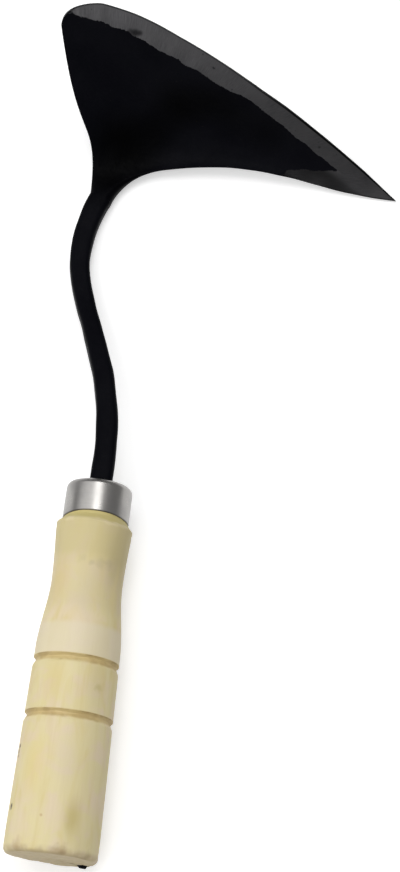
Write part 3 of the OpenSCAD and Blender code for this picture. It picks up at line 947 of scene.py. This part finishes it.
def pale_wood():
    """Pale poplar, with yellow and pinkish blotches, a pale band of painted light, and brown marks at the
    butt.
    """
    material, nodes = new_material("pale_wood")
    position = nodes.position()
    in_mm = nodes.millimetres(position)
    aside, along = in_mm["X"], in_mm["Y"]
    streaks = nodes.noise(nodes.scaled(position, (1, 0.06, 1)), 420, 3, 0.55, 0.4)
    fibres = nodes.noise(nodes.scaled(position, (1, 0.03, 1)), 1900, 3, 0.6)
    yellow = nodes.noise(nodes.scaled(position, (1, 0.28, 1)), 150, 2, 0.5, 0.6)
    pink = nodes.noise(nodes.moved(position, (0.3, 0.1, 0.2)), 105, 2, 0.55, 0.8)
    tone = nodes.blend(nodes.range(pink, 0.42, 0.66), colour(222, 209, 162), colour(223, 206, 174))
    tone = nodes.blend(nodes.range(yellow, 0.42, 0.74, 0, 0.65), tone, colour(215, 197, 134))
    tone = nodes.blend(nodes.range(streaks, 0.45, 0.8, 0, 0.2), tone, colour(205, 187, 138))
    tone = nodes.blend(nodes.range(fibres, 0.55, 0.8, 0, 0.18), tone, colour(194, 174, 126))
    for place_mm, radius, strength, shade in WOOD_STAINS:
        tone = nodes.tint(tone, nodes.stain(position, yellow, place_mm, radius), strength, colour(*shade))

    # A band of painted light in front of the second groove, standing for light on its flare; then the hollow,
    # darker, and the wood from there to the ferrule, darker and yellower
    painted_light_band = nodes.band(along, 70.0, 71.2, 80.8, 83.2)
    tone = nodes.tint(tone, painted_light_band, 0.72, colour(223, 211, 183))
    darker_hollow = nodes.band(along, 84, 91, 104, 108)
    tone = nodes.tint(tone, darker_hollow, 0.35, colour(203, 188, 146))
    darker_to_ferrule = nodes.range(along, 102.5, 110)
    tone = nodes.tint(tone, darker_to_ferrule, 0.7, colour(198, 184, 136))

    # The whittled shoulder, with a pale line of painted highlight along its corner
    wander = nodes.swing(nodes.noise(position, 130, 2), 3)
    wander = nodes.minus(wander, nodes.range(aside, 7.7, -14.2, 0, 1))
    past_corner = nodes.minus(nodes.plus(along, wander), COLLAR_AT)
    tone = nodes.tint(tone, nodes.range(past_corner, 0.2, 1.4), 0.6, colour(190, 176, 106))
    # Painted highlight along the shoulder's corner
    corner = nodes.range(nodes.math("ABSOLUTE", past_corner), 1.1, 0)
    tone = nodes.tint(tone, corner, nodes.range(pink, 0.35, 0.65, 0.05, 0.35), colour(232, 219, 180))

    # Brown grooves, with crumbs on their floor and a broken line of painted shade along their steep wall
    crumbs = nodes.noise(nodes.scaled(position, (1, 1.6, 1)), 190)
    for middle in GROOVES_AT:
        into = nodes.minus(along, middle - GROOVE_W / 2)
        floor = nodes.range(nodes.plus(into, nodes.swing(crumbs, 1.6)), 0.1, GROOVE_W * 0.4)
        floor = nodes.times(floor, nodes.range(into, GROOVE_W + 0.1, GROOVE_W - 0.1))
        shade = nodes.blend(nodes.range(crumbs, 0.4, 0.62), colour(199, 176, 120), colour(180, 154, 100))
        tone = nodes.tint(tone, floor, 0.8, shade)
        # Painted shade along the groove's steep wall
        wall = nodes.range(nodes.math("ABSOLUTE", nodes.minus(into, GROOVE_W - 0.25)), 0.3, 0)
        tone = nodes.tint(tone, wall, nodes.range(crumbs, 0.4, 0.6, 0.05, 0.45), colour(140, 116, 74))

    # The butt's end grain and its handled rim
    end_grain = nodes.range(along, FACE_AT + 1.2, FACE_AT + 0.1)
    tone = nodes.tint(tone, end_grain, 0.8, colour(189, 173, 131))
    mottling = nodes.noise(position, 300, 2)
    handled = nodes.range(along, 3.4, 1.2)
    tone = nodes.tint(tone, handled, nodes.range(mottling, 0.3, 0.6, 0.1, 0.45), colour(168, 146, 112))
    # Marks on the wood, and painted shade by the clinched end
    for place_mm, radius, strength, shade in WOOD_MARKS_AND_SHADE:
        spot_tint = nodes.spot(position, place_mm, radius, 0.9, mottling)
        tone = nodes.tint(tone, spot_tint, strength, colour(*shade))
    nodes.surface({
        "Base Color": tone,
        "Roughness": nodes.range(streaks, 0.3, 0.7, 0.50, 0.62),
        "Specular IOR Level": 0.3,
        "Normal": nodes.bump(nodes.plus(nodes.times(fibres, 0.7), streaks), 0.04 * MM),
    })
    return material


def pale_floor():
    """Pale diffuse floor, lifted to white where it is seen, reflected or looked through."""
    material, nodes = new_material("pale_floor")
    path = nodes.add("ShaderNodeLightPath").outputs
    seen = nodes.math("MAXIMUM", path["Is Glossy Ray"], path["Is Transmission Ray"])
    seen = nodes.math("MAXIMUM", path["Is Camera Ray"], seen)
    needed = nodes.range(nodes.distance(nodes.position(), (0, 0, 0)), 0.7, 2.2, 0.42, 0.85)
    lift = nodes.add("ShaderNodeEmission", {"Color": (1, 1, 1, 1), "Strength": nodes.times(seen, needed)})
    diffuse = nodes.add("ShaderNodeBsdfDiffuse", {"Color": (0.84, 0.84, 0.84, 1)})
    both = nodes.add("ShaderNodeAddShader", {0: diffuse.outputs[0], 1: lift.outputs[0]})
    nodes.add("ShaderNodeOutputMaterial", {"Surface": both.outputs[0]})
    return material


def place_piece(piece, material, node):
    piece.data.materials.clear()
    piece.data.materials.append(material)
    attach(piece, "root")
    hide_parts(node)


place_piece(make_handle(), pale_wood(), "handle")
place_piece(make_ferrule(), brushed_steel(), "ferrule")
place_piece(make_head(), forged_iron(), "forged_head")

# Floor at the height of the three points that the hoe rests on, in metres
FLOOR_RADIUS = 40
bpy.ops.mesh.primitive_circle_add(vertices=96, radius=FLOOR_RADIUS, fill_type="NGON",
                                  location=(0, 0.15, cad_box[0][2]))
floor = bpy.context.object
floor.name = "floor"
floor.data.materials.append(pale_floor())

# Camera of the photograph, in metres and pixels
AZIMUTH = math.radians(6.459)
ELEVATION = math.radians(71.152)
DISTANCE = 0.7388
TARGET = Vector((0.034589, 0.161079, 0))
FRAME_HEIGHT_PX = 872
FOCAL_PX = 1970.4

# Lamps in metres: how far they stand, then each one's name, direction, width, length and watts
LAMPS_AWAY = 1.3
LAMPS = (
    ("strip", (0.01, 0.33, 0.94), 0.51, 1.0, 6.0),
    ("left", (-0.50, 0.25, 0.83), 0.7, 1.6, 4.2),
    ("front", (-0.40, -0.45, 0.80), 1.5, 1.1, 7.2),
)
SKY_STRENGTH = 0.28


def camera_axes(azimuth, elevation):
    back = Vector((math.sin(azimuth) * math.cos(elevation), -math.cos(azimuth) * math.cos(elevation),
                   math.sin(elevation)))
    right = Vector((math.cos(azimuth), math.sin(azimuth), 0))
    return right, back.cross(right), back


def make_camera():
    data = bpy.data.cameras.new("camera")
    data.sensor_width = 36
    data.lens = FOCAL_PX * data.sensor_width / FRAME_HEIGHT_PX
    camera = bpy.data.objects.new("camera", data)
    bpy.context.scene.collection.objects.link(camera)
    right, up, back = camera_axes(AZIMUTH, ELEVATION)
    place_at = TARGET + back * DISTANCE
    camera.matrix_world = Matrix.Translation(place_at) @ Matrix((right, up, back)).transposed().to_4x4()
    bpy.context.scene.camera = camera


def add_softbox(name, direction, width, length, watts):
    """A rectangular lamp that looks at the hoe from a direction."""
    data = bpy.data.lights.new(name, "AREA")
    data.shape = "RECTANGLE"
    data.size = width
    data.size_y = length
    data.energy = watts
    lamp = bpy.data.objects.new(name, data)
    bpy.context.scene.collection.objects.link(lamp)
    direction = Vector(direction).normalized()
    lamp.location = TARGET + direction * LAMPS_AWAY
    lamp.rotation_euler = direction.to_track_quat("Z", "Y").to_euler()


make_camera()
for lamp_values in LAMPS:
    add_softbox(*lamp_values)

world = bpy.data.worlds.new("studio")
bpy.context.scene.world = world
world.use_nodes = True
world_nodes = Nodes(world.node_tree)
sky = world_nodes.add("ShaderNodeBackground", {"Color": (1, 1, 1, 1), "Strength": SKY_STRENGTH})
world_nodes.add("ShaderNodeOutputWorld", {"Surface": sky.outputs[0]})

bpy.context.scene.view_settings.view_transform = "Standard"
